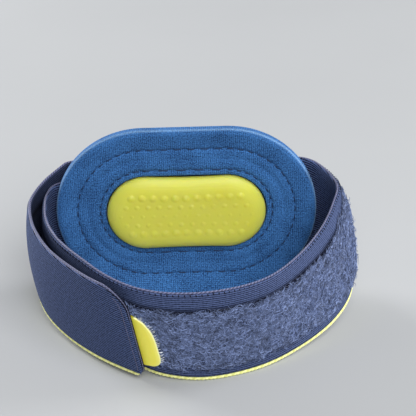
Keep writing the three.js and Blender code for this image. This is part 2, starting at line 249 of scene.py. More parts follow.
def through(places, steps, power):
    """A smooth curve through places. Power 0.5 keeps it from overshooting between uneven ones."""
    before = 2 * places[:1] - places[1:2]
    after = 2 * places[-1:] - places[-2:-1]
    p = np.concatenate([before, places, after])
    span = np.linalg.norm(np.diff(p, axis=0), axis=1)[:, None] ** power
    d0, d1, d2 = span[:-2], span[1:-1], span[2:]
    a, b, c, d = p[:-3], p[1:-2], p[2:-1], p[3:]
    leave = ((b - a) / d0 - (c - a) / (d0 + d1) + (c - b) / d1) * d1
    reach = ((c - b) / d1 - (d - b) / (d1 + d2) + (d - c) / d2) * d1
    t = (np.arange(steps) / steps)[None, :, None]
    b, c, leave, reach = (v[:, None] for v in (b, c, leave, reach))
    curve = (b + leave * t + (3 * (c - b) - 2 * leave - reach) * t ** 2
             + (2 * (b - c) + leave + reach) * t ** 3)
    return np.concatenate([curve.reshape(-1, places.shape[1]), places[-1:]])


# %% Ring, fold and flap in one line
STEP = 0.5                       # millimetres between the path's points
BETWEEN_PLACES = 40              # points of the curve from one place to the next


def unit(vectors):
    """The same directions, one unit long."""
    return vectors / np.linalg.norm(vectors, axis=-1, keepdims=True)


ring = through(BAND_PLACES[:, :3], BETWEEN_PLACES, 0.5)
ring_lean, stand_off, rise, ring_bulge = through(BAND_PLACES[:, 3:], BETWEEN_PLACES, 0.0).T
outward = unit(np.cross(UP, np.gradient(ring, axis=0)))
lifted = ring + outward * stand_off[:, None] + UP * rise[:, None]
on_flap = (np.arange(len(ring)) > len(ring) / 2) & (ring[:, 0] < FLAP_END_X)
flap = lifted[on_flap][::-1]

turning = np.linspace(0, math.pi, 17)[1:-1]
fold = np.stack([
    ring[-1, 0] + FOLD_RADIUS * np.sin(turning),
    ring[-1, 1] + FOLD_RADIUS * (1 - np.cos(turning)),
    np.interp(turning, (0, math.pi), (ring[-1, 2], flap[0, 2])),
], 1)

rough = np.concatenate([ring, fold, flap])
rough_lean = np.concatenate([ring_lean, 0 * turning, -ring_lean[on_flap][::-1]])
rough_bulge = np.concatenate([ring_bulge, 0 * turning, -ring_bulge[on_flap][::-1]])
rough_distance = np.concatenate([[0], np.cumsum(np.linalg.norm(np.diff(rough, axis=0), axis=1))])
RING_LENGTH = rough_distance[len(ring) - 1]
BAND_LENGTH = rough_distance[-1]

distance = np.linspace(0, BAND_LENGTH, int(BAND_LENGTH / STEP))
edge = np.stack([np.interp(distance, rough_distance, rough[:, k]) for k in range(3)], 1)
lean = np.radians(np.interp(distance, rough_distance, rough_lean))[:, None]
bulge = np.interp(distance, rough_distance, rough_bulge)
along = unit(np.gradient(edge, axis=0))
side = unit(np.cross(UP, along))
across = UP * np.cos(lean) + side * np.sin(lean)
out = unit(np.cross(across, along))
print("band length", round(BAND_LENGTH), "mm, ring", round(RING_LENGTH), "mm")

# %% Places on the band
def on_band(far, high, lift):
    """Points at a distance along the band, a height across it and a lift off its middle layer."""
    far, high, lift = np.broadcast_arrays(far, high, lift)
    share = high / BAND_WIDTH
    lift = lift + np.interp(far, distance, bulge) * 4 * share * (1 - share)

    def at(values):
        return np.stack([np.interp(far, distance, values[:, k]) for k in range(3)], -1)

    return at(edge) + at(across) * high[..., None] + unit(at(out)) * lift[..., None]


def ring_distance(x):
    """Distance along the front half of the ring where it passes x."""
    half = (distance > RING_LENGTH / 2) & (distance < RING_LENGTH)
    return distance[half][np.argmax(edge[half, 0] < x)]


tab_end = ring_distance(FLAP_END_X)
print("the flap ends", round(tab_end), "mm along the ring")

# %% [markdown]
# ## The woven elastic band
# Webbing has two flat faces and two rounded edges. A flat strip with a thickness modifier would do,
# but a closed section swept along the path gives soft edges and lets the flap's end be cut to its
# slanted, rounded outline. The ruler under the weave runs along the band in millimetres, and counts
# the height as plus on the face with the loops and minus on the other.

# %% Flap end and strip section
FLAP_SLANT = 2.1
FLAP_TOP_ROUND = 8.0
FLAP_BOTTOM_ROUND = 4.5
FLAP_END_ZONE = 30.0


def corner_cut(radius, inside):
    """How far a rounded corner draws the end in, inside from its side."""
    short = np.clip(radius - inside, 0, None)
    return radius - np.sqrt(radius ** 2 - short ** 2)


def flap_cut(high):
    """How far the flap's end falls short of the band's length at a height."""
    slant = FLAP_SLANT * high / BAND_WIDTH
    high = np.clip(high, 0, BAND_WIDTH)
    return slant + corner_cut(FLAP_BOTTOM_ROUND, high) + corner_cut(FLAP_TOP_ROUND, BAND_WIDTH - high)


def shaped(far, high):
    """Distances along the band, with the flap's end drawn to its outline."""
    share = np.clip(1 - (BAND_LENGTH - far) / FLAP_END_ZONE, 0, None)
    return far - share * flap_cut(high)


def strip_section(low, high, half, steps, edge_steps=5):
    """Heights and lifts round a flat strip with half-round edges, starting low on the loop face."""
    bend = np.linspace(0, math.pi, edge_steps + 2)[1:-1]
    flat = np.linspace(low + half, high - half, steps)
    heights = np.concatenate([flat, high - half + half * np.sin(bend),
                              flat[::-1], low + half - half * np.sin(bend)])
    lifts = np.concatenate([0 * flat + half, half * np.cos(bend),
                            0 * flat - half, -half * np.cos(bend)])
    return heights, lifts


print("the flap's end leans back by", round(flap_cut(BAND_WIDTH / 2), 2), "mm at half height")

# %% Sweep a strip along the band
def sweep_strip(name, far, low, high, half, steps, wave=None):
    """A strip of the band between two heights; wave moves its points off the flat section."""
    heights, lifts = strip_section(low, high, half, steps)
    far_at = shaped(far[:, None], heights[None, :])
    if wave is not None:
        lifts = wave(far_at, heights[None, :], lifts[None, :])
    rows = on_band(far_at, heights[None, :], lifts)
    rows[..., 2] = np.clip(rows[..., 2], 0, None)
    flip = np.where(np.arange(len(heights)) < steps + 3, 1.0, -1.0)
    ruler = np.stack([far_at, np.broadcast_to(heights * flip, far_at.shape)], -1).reshape(-1, 2)
    return make_piece(name, rows.reshape(-1, 3), tube_faces(len(far), len(heights)), ruler)


def soft_wave(far, high, lift):
    """A slow unevenness of the used band, a fraction of a millimetre."""
    return lift + 0.16 * np.sin(far / 9.0 + high / 7.0) * np.sin(far / 23.0)


# %% Band
SELVEDGE_WIDTH = 1.2
BAND_ROWS = 420                  # sections along the band

band_far = np.linspace(0, BAND_LENGTH, BAND_ROWS)
band = sweep_strip("woven_band", band_far, SELVEDGE_WIDTH, BAND_WIDTH, BAND_THICKNESS / 2, 36, soft_wave)
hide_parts("band")

# %% [markdown]
# ## The yellow selvedge
# A selvedge is the edge that the loom closes as it weaves. Here it is made in yellow yarn, and it
# is the edge that the brace stands on. It is the same sweep as the band, with small bumps where
# the weft turns back, one for every pick.

# %% Selvedge
PICK = 1.15                      # millimetres between weft turns, drawn coarser than the real 0.5
SELVEDGE_HALF = 0.55             # half its thickness


def weft_turns(far, high, lift):
    """The edge swells where the weft turns back, once for every pick."""
    return lift * (1 + 0.18 * np.cos(2 * math.pi * far / PICK))


selvedge_far = np.linspace(0, BAND_LENGTH, int(BAND_LENGTH / PICK * 5))
selvedge = sweep_strip("selvedge", selvedge_far, 0.0, SELVEDGE_WIDTH, SELVEDGE_HALF, 3, weft_turns)
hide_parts("yellow_selvedge")

# %% [markdown]
# ## Woven elastic as a material
# Polyester and elastane yarns are woven into fine ribs that run along the band. On the face with
# the loops they are straight. The other face is a twill: each pick steps sideways a little, so its
# ribs slant by a few degrees. Modelling the yarns would take millions of faces, so wave textures
# laid along the ruler draw the ribs, and the same waves raise them.

# %% Ribs and twill
RIB_PITCH = 0.70                 # millimetres between ribs
TWILL_PITCH = 0.80
TWILL_SLANT = 0.12               # sideways step of the twill for each millimetre along the band
WEFT_PITCH = 0.8                 # drawn coarser than the real half millimetre
WEFT_SHARE = 0.12                # how much of the weft shows between the ribs


def wave_scale(pitch):
    """The wave texture's scale for bands this many units apart."""
    return math.pi / 10 / pitch


elastic, tree = new_material("navy woven elastic", Roughness=0.85, IOR=1.5, Specular_IOR_Level=0.12,
                             Sheen_Weight=0.05, Sheen_Roughness=0.45, Sheen_Tint=linear("#8A93B8"))
ruler = add_node(tree, "UVMap", uv_map="millimetres").outputs["UV"]
parts = add_node(tree, "SeparateXYZ", {"Vector": ruler})
way_along, way_across = parts.outputs["X"], parts.outputs["Y"]
height = add_node(tree, "Math", {0: way_across}, operation="ABSOLUTE").outputs[0]
loop_face = add_node(tree, "Math", {0: way_across, 1: 0.0}, operation="GREATER_THAN").outputs[0]
ribs = add_node(tree, "TexWave", {"Vector": ruler, "Scale": wave_scale(RIB_PITCH), "Distortion": 0.8,
                                  "Detail": 1.0, "Detail Scale": 0.6}, bands_direction="Y")
stepped = add_node(tree, "Math", {0: way_along, 1: TWILL_SLANT, 2: height}, operation="MULTIPLY_ADD")
slanted = add_node(tree, "CombineXYZ", {"X": way_along, "Y": stepped.outputs[0]})
twill = add_node(tree, "TexWave", {"Vector": slanted.outputs[0], "Scale": wave_scale(TWILL_PITCH),
                                   "Distortion": 1.2, "Detail": 1.0, "Detail Scale": 0.8},
                 bands_direction="Y")
lengthwise = add_node(tree, "Mix", {0: loop_face, 2: twill.outputs["Fac"], 3: ribs.outputs["Fac"]})
weft = add_node(tree, "TexWave", {"Vector": ruler, "Scale": wave_scale(WEFT_PITCH), "Distortion": 2.0,
                                  "Detail": 1.0}, bands_direction="X")
weave = add_node(tree, "Mix", {0: WEFT_SHARE, 2: lengthwise.outputs[0], 3: weft.outputs["Fac"]})
relief = add_node(tree, "Bump", {"Height": weave.outputs[0], "Strength": 0.9, "Distance": 0.0002})
print("ribs across the band:", round(BAND_WIDTH / RIB_PITCH))

# %% [markdown]
# ## Light and shade in the weave
# The colour paints the ribs' crowns lighter and the hollows between them darker, as painted light
# and shade, and single yarns differ a little. Painted shade darkens the webbing close above the pile
# and the flap's inner side. A picture texture would have to be drawn to fit, while the ruler says
# where each zone begins. Fine fuzz makes the cloth paler at a shallow angle: the sheen.

# %% Colours of the two faces
YARNS = 1.3                      # light and dark yarns in a millimetre, drawn coarser than the real four

yarns = add_node(tree, "TexNoise", {"Vector": ruler, "Scale": YARNS, "Detail": 3.0, "Roughness": 0.7})
# painted light and shade: the weave's height makes the crowns lighter and the hollows darker, and the noise
# adds real yarn tone
rib_shade_and_yarns = add_node(tree, "Math", {0: weave.outputs[0], 1: 0.6, 2: yarns.outputs["Fac"]},
                 operation="MULTIPLY_ADD")
navy = add_node(tree, "ValToRGB", {"Fac": rib_shade_and_yarns.outputs[0]}, ((0.46, "#0D142A"), (1.0, "#52618A")))
dark = add_node(tree, "ValToRGB", {"Fac": rib_shade_and_yarns.outputs[0]}, ((0.56, "#070C1C"), (1.0, "#52638F")))
faced = add_node(tree, "Mix", {0: loop_face, 6: dark.outputs["Color"], 7: navy.outputs["Color"]},
                 data_type="RGBA")
print("nodes in the elastic so far:", len(tree.nodes))

# %% Painted shade beside the pile and inside the flap
PILE_LOW, PILE_HIGH = 0.185 * BAND_WIDTH, 0.795 * BAND_WIDTH
PILE_START_Y = -2.0
PILE_FROM = distance[np.argmax(edge[:, 1] < PILE_START_Y)]
SHADE_REACH = 1.9                # millimetres above and below the pile's upper edge
SHADE_FROM, SHADE_FULL = PILE_FROM + 8, PILE_FROM + 30
FLAP_SHADE_BLEND = 8.0               # length past the fold over which painted shade darkens the flap's inner side
FLAP_SHADE_DARK = 0.65

# painted shade: the webbing close above the pile's upper edge is darkened in its colour
to_pile = add_node(tree, "Math", {0: way_across, 1: PILE_HIGH}, operation="SUBTRACT")
beside = add_node(tree, "Math", {0: to_pile.outputs[0]}, operation="ABSOLUTE")
above_pile = add_node(tree, "MapRange", {"Value": beside.outputs[0], "From Min": SHADE_REACH,
                                         "From Max": 0.0})
fade = add_node(tree, "MapRange", {"Value": way_along, "From Min": SHADE_FROM, "From Max": SHADE_FULL})
shadow = add_node(tree, "Math", {0: above_pile.outputs[0], 1: fade.outputs[0]}, operation="MULTIPLY")
shaded = add_node(tree, "Mix", {0: shadow.outputs[0], 6: faced.outputs[2], 7: linear("#0E1124")},
                  data_type="RGBA")
# painted shade: the loop face past the fold, the flap's inner side, is mixed towards a dark navy
past_fold = add_node(tree, "MapRange", {"Value": way_along, "From Min": RING_LENGTH,
                                        "From Max": RING_LENGTH + FLAP_SHADE_BLEND, "To Max": FLAP_SHADE_DARK})
flap_inside_shade = add_node(tree, "Math", {0: past_fold.outputs[0], 1: loop_face}, operation="MULTIPLY")
flap_shaded = add_node(tree, "Mix", {0: flap_inside_shade.outputs[0], 6: shaded.outputs[2], 7: linear("#0C0E1C")},
                 data_type="RGBA")
put_on([band], elastic, flap_shaded.outputs[2], relief)

# %% [markdown]
# ## Selvedge yarn
# The yellow yarn is spun polyester, thicker than the navy one. Its turns round the edge show as
# slanting ridges, so one diagonal wave gives both the relief and the colour, with painted light on
# the crowns and painted shade between them.

# %% Yellow selvedge yarn
yarn, tree = new_material("yellow selvedge yarn", Roughness=0.8, IOR=1.5, Sheen_Weight=0.2)
ruler = add_node(tree, "UVMap", uv_map="millimetres").outputs["UV"]
turns = add_node(tree, "TexWave", {"Vector": ruler, "Scale": wave_scale(PICK), "Distortion": 0.5},
                 bands_direction="DIAGONAL")
# painted light and shade: the ridges' crowns pale, the hollows between them darker
yellow = add_node(tree, "ValToRGB", {"Fac": turns.outputs["Fac"]}, ((0.0, "#D8DA80"), (1.0, "#F0F0A4")))
relief = add_node(tree, "Bump", {"Height": turns.outputs["Fac"], "Strength": 0.6, "Distance": 0.00015})
put_on([selvedge], yarn, yellow.outputs["Color"], relief)

# %% [markdown]
# ## The pad
# The pad is a sheet of foam covered in fine knit, sewn through in two rings with a soft groove
# between them. It is only a few millimetres thick, so a cloth simulation would change less than
# the stitching does. Instead its section is a table of insets and depths, swept round the oval,
# and the sewn rings are pulled in a little more at each stitch. Outside the seam the rim is dished:
# it stands a little forwards, most above and below, and the lower edge bends forwards more.

# %% Pad section and outline
PAD_HALF_STRAIGHT = 12.4
PAD_RADIUS = 28.0

# inset from the outline, depth behind the front face
PAD_SECTION = np.array([
    (28.0, 3.8), (9.0, 3.8), (1.3, 3.8), (0.35, 3.5), (0.0, 3.0),             # back
    (0.0, 1.0), (0.35, 0.4), (1.3, 0.08), (3.0, 0.0), (5.9, 0.03),            # rim
    (6.3, 0.2), (6.6, 0.4), (6.9, 0.2), (7.3, 0.03), (8.6, 0.0),              # outer stitches
    (9.9, 0.34), (11.2, 0.0), (12.9, 0.05),                                   # groove
    (13.35, 0.25), (13.65, 0.4), (13.95, 0.25), (14.4, 0.08), (15.35, 0.12),  # inner stitches
    (15.5, 1.2), (15.65, 1.5), (28.0, 1.5),                                   # the cushion's seat
])


def oval(inset, share, radius=PAD_RADIUS, waist=0.0):
    """Points round the pad's oval at an inset; share runs from 0 to 1 with even steps of length."""
    r = np.maximum(radius - inset, 1e-3)
    straight, arc = 2 * PAD_HALF_STRAIGHT, math.pi * radius
    s = share * 2 * (straight + arc)
    half = np.floor(s / (straight + arc))
    sign = 1 - 2 * half
    s = s - half * (straight + arc)
    angle = np.clip((s - straight) / radius, 0, math.pi) + math.pi / 2
    run = PAD_HALF_STRAIGHT - np.clip(s, 0, straight)
    level = s < straight
    bow = waist * r / radius * np.clip(1 - (run / PAD_HALF_STRAIGHT) ** 2, 0, 1) * level
    x = sign * (np.where(level, run, -PAD_HALF_STRAIGHT) + r * np.where(level, 0, np.cos(angle)))
    z = sign * (r * np.where(level, 1, np.sin(angle)) - bow)
    return x, PAD_RADIUS + z


print("pad of", 2 * (PAD_HALF_STRAIGHT + PAD_RADIUS), "by", 2 * PAD_RADIUS, "mm")

# %% Sweep the section round the oval
PAD_ROUND = 420                  # points round the oval
BACK_LENGTH = 25.0               # how much of the section lies on the back
GROOVE_FROM, GROOVE_TO = 8.6, 11.2
SOFT_TO = 14.6                   # inset up to which the foam rounds the section's corners


def along_section(section, start, steps):
    """The section's corners and even steps between them: length along it, inset and depth."""
    length = np.concatenate([[0], np.cumsum(np.linalg.norm(np.diff(section, axis=0), axis=1))])
    fine = np.unique(np.concatenate([length, np.linspace(start, length[-1], steps)]))
    return fine, *(np.interp(fine, length, section[:, k])[:, None] for k in range(2))


fine, inset, depth = along_section(PAD_SECTION, 0, 150)
soft = np.exp(-np.linspace(-1.5, 1.5, 5) ** 2)
softened = np.convolve(depth[:, 0], soft / soft.sum(), "same")
depth[4:-4, 0] = np.where(inset[:, 0] < SOFT_TO, softened, depth[:, 0])[4:-4]
share = np.arange(PAD_ROUND)[None, :] / PAD_ROUND
x, z = oval(inset, share)
on_front = (fine > BACK_LENGTH)[:, None]
in_groove = on_front & (inset > GROOVE_FROM) & (inset < GROOVE_TO)
depth = depth * np.where(in_groove, 0.3 + 0.7 * np.clip((abs(x) - 8) / 18, 0, 1), 1)
print("pad section in", len(fine), "steps")

# %% Stitches, dish and curl
PAD_CURL = 4.5
PAD_CURL_HEIGHT = 12.0
PAD_DISH = 1.7                   # how far the rim stands in front of the sewn ring
DISH_RISE = 0.30                 # the dished rim also stands higher by this share
STITCH_PITCH = 3.4
STITCH_RINGS = (6.6, 13.65)      # insets from the pad's outline
STITCH_PULL = 0.12


def stitch_count(ring_inset):
    """How many stitches go round the pad at an inset."""
    return round((2 * math.pi * (PAD_RADIUS - ring_inset) + 4 * PAD_HALF_STRAIGHT) / STITCH_PITCH)


def curled(y, z):
    """Bends the pad's lower edge forwards."""
    return y - PAD_CURL * np.clip(1 - z / PAD_CURL_HEIGHT, 0, None) ** 2


def unevenness(x, z):
    """Small hollows and swellings of the foam, in millimetres."""
    broad = 0.10 * np.sin(x / 5.1 + z / 8.3) * np.sin(z / 6.7 - x / 11.0)
    return broad + 0.05 * np.sin(x / 2.3) * np.sin(z / 2.9)


pull = 0
for ring_inset in STITCH_RINGS:
    near = np.exp(-((inset - ring_inset) / 0.9) ** 2)
    pull = pull + STITCH_PULL * near * np.cos(2 * math.pi * stitch_count(ring_inset) * share)
flat_face = np.clip((inset - 1.0) / 3.0, 0, 1) * np.clip((15.0 - inset) / 1.0, 0, 1)
to_end = np.clip((abs(x) - PAD_HALF_STRAIGHT) / PAD_RADIUS, 0, 1)
dish = PAD_DISH * (1 - 0.7 * to_end) * np.clip(1 - inset / STITCH_RINGS[0], 0, 1) ** 1.2
y = curled(depth + on_front * (pull + unevenness(x, z) * flat_face) - dish, z)
z = z + DISH_RISE * dish * np.clip(z / 20, 0, 1)
print("stitches in the two rings:", [stitch_count(ring_inset) for ring_inset in STITCH_RINGS])

# %% Pad with its marks
SEAT_INSET = 15.4
FACE_START = 32.5                # length along the section at which the front begins

# painted shade along the two sewn rings and over the cushion's seat, which shows as a dark gap round the
# cushion
pressed = on_front * (0.16 * sum(np.exp(-((inset - seam) / 0.4) ** 2) for seam in STITCH_RINGS)
                      + np.clip((inset - SEAT_INSET) / 0.1, 0, 1))
# painted highlight: the rim's outer roll is painted paler, where the lamps behind light it
worn = 0.6 * np.exp(-(inset / 0.35) ** 2) * np.exp(-((depth - 0.7) / 0.4) ** 2)
past_rim = (fine > FACE_START)[:, None]
flat = np.stack(oval(inset - np.where(past_rim, 0, depth), share + 0 * depth), -1)
pad = make_piece("knit_pad", np.stack([x, y, z], -1).reshape(-1, 3), grid_faces(len(fine), PAD_ROUND, True),
                 flat.reshape(-1, 2), pressed=np.broadcast_to(pressed, x.shape), worn=worn)
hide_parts("pad")

# %% [markdown]
# ## Blue knit
# The cover is a fine polyester knit. Columns of stitches stand side by side, crossed by rows, and
# the colour paints shade between them. Single yarns take the dye unevenly, which gives the cloth its
# lively fine speckle. Painted shade darkens the seams and the gap round the cushion, and a painted
# highlight makes the rim paler. Both are marks on the pad's points, which the material reads.

# %% Polyester knit
KNIT_COLUMN = 0.6                # millimetres, drawn coarser than the real 0.4
KNIT_ROW = 0.5
YARN_SPECKLE = 0.45              # size of the single stitches that took more or less dye
DYE_CLOUDS = 0.12                # broad patches of uneven dye in a millimetre

knit, tree = new_material("blue polyester knit", Roughness=0.9, IOR=1.5, Specular_IOR_Level=0.2,
                          Sheen_Weight=0.4, Sheen_Roughness=0.3, Sheen_Tint=linear("#9CC6EE"))
ruler = add_node(tree, "UVMap", uv_map="millimetres").outputs["UV"]
columns = add_node(tree, "TexWave", {"Vector": ruler, "Scale": wave_scale(KNIT_COLUMN), "Distortion": 2.5,
                                     "Detail": 2.0, "Detail Scale": 2.0}, bands_direction="X")
courses = add_node(tree, "TexWave", {"Vector": ruler, "Scale": wave_scale(KNIT_ROW), "Distortion": 3.0,
                                     "Detail": 2.0, "Detail Scale": 2.0}, bands_direction="Y")
loops_height = add_node(tree, "Math", {0: columns.outputs["Fac"], 1: courses.outputs["Fac"]},
                        operation="MULTIPLY")
speckle = add_node(tree, "TexNoise", {"Vector": ruler, "Scale": 1 / YARN_SPECKLE, "Detail": 2.0,
                                      "Roughness": 0.8})
cloudy = add_node(tree, "TexNoise", {"Vector": ruler, "Scale": DYE_CLOUDS, "Detail": 2.0})
knit_loops_and_speckle = add_node(tree, "Math", {0: loops_height.outputs[0], 1: 0.24, 2: speckle.outputs["Fac"]},
                operation="MULTIPLY_ADD")
relief = add_node(tree, "Bump", {"Height": knit_loops_and_speckle.outputs[0], "Strength": 0.55, "Distance": 0.0002})
print("knit columns across the pad:", round(2 * (PAD_HALF_STRAIGHT + PAD_RADIUS) / KNIT_COLUMN))

# %% Colours of the knit
# painted shade between the knit's loops, with real dye speckle and patches of uneven dye
dye_and_loop_shade = add_node(tree, "Math", {0: cloudy.outputs["Fac"], 1: 0.25, 2: knit_loops_and_speckle.outputs[0]},
                      operation="MULTIPLY_ADD")
blue = add_node(tree, "ValToRGB", {"Fac": dye_and_loop_shade.outputs[0]}, ((0.50, "#102A54"), (0.89, "#4884C8")))
# painted shade of the seams and of the gap round the cushion
pressed = add_node(tree, "Attribute", attribute_name="pressed")
seam_shaded = add_node(tree, "Mix", {0: pressed.outputs["Fac"], 6: blue.outputs["Color"], 7: linear("#0A1020")},
                  data_type="RGBA")
# painted highlight along the pad's rim, broken up by the speckle
worn = add_node(tree, "Attribute", attribute_name="worn")
rim_light_speckled = add_node(tree, "Math", {0: worn.outputs["Fac"], 1: speckle.outputs["Fac"]}, operation="MULTIPLY")
rim_highlighted = add_node(tree, "Mix", {0: rim_light_speckled.outputs[0], 6: seam_shaded.outputs[2], 7: linear("#B4DAF8")},
                  data_type="RGBA")
put_on([pad], knit, rim_highlighted.outputs[2], relief)

# %% [markdown]
# ## The stitches
# Each stitch is a short length of thread that dips into the cloth at both ends. A tube bowed over
# the sewn channel shows that, and all the stitches of the pad are joined in one mesh.

# %% Threads helper
def thread_tubes(paths, radius, sides=6):
    """Points and faces of round threads along paths, an array of threads by points by three."""
    count, steps, _ = paths.shape
    ahead = unit(np.gradient(paths, axis=1))
    aside = unit(np.cross(ahead, np.array([0.31, 0.55, 0.77])))
    over = np.cross(ahead, aside)
    turn = np.linspace(0, 2 * math.pi, sides, endpoint=False)
    circle = aside[:, :, None] * np.cos(turn)[:, None] + over[:, :, None] * np.sin(turn)[:, None]
    taper = np.interp(np.arange(steps), [0, 1, steps - 2, steps - 1], [0.45, 1, 1, 0.45])
    points = paths[:, :, None] + circle * (radius * taper)[None, :, None, None]
    one = grid_faces(steps, sides, True)
    faces = (np.arange(count) * steps * sides)[:, None, None] + one[None]
    return points.reshape(-1, 3), faces.reshape(-1, 4)


# %% Pad stitches
THREAD_RADIUS = 0.22
STITCH_DEPTH = 0.26              # of the thread's middle, in the sewn channel

paths = []
t = np.linspace(-0.30, 0.30, 7)
for ring_inset in STITCH_RINGS:
    count = stitch_count(ring_inset)
    shares = ((np.arange(count)[:, None] + 0.5 + t[None, :]) / count) % 1.0
    sx, sz = oval(np.full_like(shares, ring_inset), shares)
    sy = curled(STITCH_DEPTH + 2.4 * t[None, :] ** 2 + unevenness(sx, sz), sz)
    paths.append(np.stack([sx, sy, sz], -1))
points, faces = thread_tubes(np.concatenate(paths), THREAD_RADIUS)
pad_stitches = make_piece("pad_stitches", points, faces)

# %% [markdown]
# ## Sewing thread
# Sewing thread is polyester, spun and twisted, so it is dull, and its strands are lighter and darker
# in turn. Three threads of the brace are made that way, so one function makes their material. The
# stitches of the pad are a navy close to the shade of the seam.

# %% Navy thread
STRANDS = 2.5                    # in a millimetre, drawn coarser than the real ten


def strand_material(pieces, name, dark, pale, **values):
    """A spun thread, with strands of two shades."""
    material, tree = new_material(name, IOR=1.5, **values)
    place = add_node(tree, "TexCoord").outputs["Object"]
    strands = add_node(tree, "TexNoise", {"Vector": place, "Scale": 1000 * STRANDS, "Detail": 2.0})
    dye = add_node(tree, "ValToRGB", {"Fac": strands.outputs["Fac"]}, ((0.0, dark), (1.0, pale)))
    put_on(pieces, material, dye.outputs["Color"])


strand_material([pad_stitches], "navy polyester thread", "#0E1C38", "#1E3860",
                Roughness=0.6, Specular_IOR_Level=0.3)

# %% [markdown]
# ## The pressure cushion
# The cushion is one moulding of soft silicone: an oval with a broad rolled shoulder and a nearly
# flat face that carries five rows of round nubs, the largest outside. Separate balls would leave
# hard rings where they meet the face, so the nubs are raised out of one fine grid of points.

# %% Cushion section and nubs
CUSHION_RADIUS = 12.2
CUSHION_WAIST = 0.3
NUB_PITCH = 3.38
NUB_ROW_PITCH = 3.15

# inset from the cushion's outline, depth
CUSHION_SECTION = np.array([
    (12.2, 1.2), (0.4, 1.2), (0.0, 0.8), (0.0, -0.4), (0.12, -0.8), (0.4, -1.15), (0.85, -1.5),
    (1.4, -1.82), (2.1, -2.12), (3.0, -2.4), (3.8, -2.56), (4.6, -2.65), (12.2, -2.75),
])
# nubs in the row, radius, height
NUB_ROWS = ((11, 1.3, 0.36), (12, 0.85, 0.20), (13, 0.65, 0.09), (12, 0.85, 0.17), (11, 1.3, 0.30))


def nub_height(x, z):
    """How far the nubs stand out of the face here."""
    total = np.zeros_like(x)
    for row, (count, radius, high) in enumerate(NUB_ROWS):
        for i in range(count):
            nx = (i - (count - 1) / 2) * NUB_PITCH
            bow = max(0, 1 - (nx / PAD_HALF_STRAIGHT) ** 2) * CUSHION_WAIST / 2
            nz = PAD_RADIUS + (2 - row) * (NUB_ROW_PITCH - bow)
            away = np.hypot(x - nx, z - nz) / radius
            total = np.maximum(total, high * np.clip(1 - away ** 2, 0, 1) ** 1.2)
    return total


print("nubs:", sum(count for count, _, _ in NUB_ROWS))

# %% Build the cushion
CUSHION_ROUND = 460              # points round the oval
LOWER_TIGHTER = 0.45             # how much narrower the lower shoulder is than the upper one
NUBS_ABOVE = -1.2                # only what stands out further than this carries nubs

fine, inset, depth = along_section(CUSHION_SECTION, 12, 95)
share = np.arange(CUSHION_ROUND)[None, :] / CUSHION_ROUND
foot = np.clip((PAD_RADIUS - oval(0 * inset, share)[1]) / PAD_RADIUS, 0, 1)
inset = inset - LOWER_TIGHTER * foot * inset * np.clip(1 - inset / 6, 0, 1)
x, z = oval(inset, share, CUSHION_RADIUS, CUSHION_WAIST)
y = depth - np.where(depth < NUBS_ABOVE, nub_height(x, z), 0)
cushion = make_piece("silicone_cushion", np.stack([x, y + 0 * x, z], -1).reshape(-1, 3),
                     grid_faces(len(fine), CUSHION_ROUND, True))
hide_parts("pressure_cushion")

# %% [markdown]
# ## Yellow silicone
# Silicone rubber moulded in a fine-blasted tool has a satin skin: a broad, soft highlight, and a
# little light that enters and comes out again, which keeps the shadows warm.

# %% Silicone
SILICONE_CLOUDS = 0.09           # uneven patches of pigment in a millimetre
BLAST_GRAINS = 2.6               # in a millimetre, drawn coarser than the real twenty

silicone, tree = new_material("yellow moulded silicone", Roughness=0.45, IOR=1.43, Subsurface_Weight=1.0,
                              Subsurface_Scale=0.010, Subsurface_Radius=(1.0, 0.8, 0.2))
place = add_node(tree, "TexCoord").outputs["Object"]
cloudy = add_node(tree, "TexNoise", {"Vector": place, "Scale": 1000 * SILICONE_CLOUDS, "Detail": 3.0})
body = add_node(tree, "ValToRGB", {"Fac": cloudy.outputs["Fac"]}, ((0.0, "#E2DA56"), (1.0, "#EAE262")))
blasted = add_node(tree, "TexNoise", {"Vector": place, "Scale": 1000 * BLAST_GRAINS, "Detail": 2.0})
relief = add_node(tree, "Bump", {"Height": blasted.outputs["Fac"], "Strength": 0.12, "Distance": 0.0001})
put_on([cushion], silicone, body.outputs["Color"], relief)

# %% [markdown]
# ## The loop pile
# The flap closes on brushed loops: thousands of fine nylon filaments, knitted in as loops and
# teased with wire brushes until they lie in tufts. A texture would stay flat at the outline, where
# the real pile shows as fuzz, so the loops are real strips of mesh. A thin bed under them stands
# for the ground that they grow from.

# %% Bed of the pile
PILE_FOOT = BAND_THICKNESS / 2
PILE_END_X = -38.8
BED_HALF = 0.35                  # half its thickness

pile_to = ring_distance(PILE_END_X)
bed_far = np.linspace(PILE_FROM, pile_to, 200)
bed_high, bed_lift = strip_section(PILE_LOW, PILE_HIGH, BED_HALF, 24)
rows = on_band(bed_far[:, None], bed_high[None, :], PILE_FOOT + BED_HALF + bed_lift[None, :])
bed = make_piece("pile_bed", rows.reshape(-1, 3), tube_faces(len(bed_far), len(bed_high)))
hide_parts("loop_pile")

# %% How the brush laid the loops
PILE_CLIMB = 24.0                # length over which the pile's upper boundary comes down


def swirl(far, high):
    """The direction in which the brush has laid the tufts here."""
    along_way = 1.9 * np.sin(far / 1.9 + 1.3 * np.sin(high / 1.3))
    across_way = 1.7 * np.sin(high / 1.7 + 2.0 * np.sin(far / 2.6))
    return along_way + across_way + 0.9 * np.sin((far + high) / 4.1)


def tufted(far, high):
    """From 0 between two tufts to 1 in the middle of one."""
    return 0.5 + 0.5 * np.sin(far * 2.3 + 2 * np.sin(high * 1.1)) * np.sin(high * 2.1 + 2 * np.sin(far * 0.9))


def pile_top(far):
    """The pile's upper boundary, which climbs to the cord where the pile begins."""
    climb = np.clip(1 - (far - PILE_FROM) / PILE_CLIMB, 0, 1)
    return PILE_HIGH - 0.2 + (BAND_WIDTH - 1.4 - PILE_HIGH) * climb


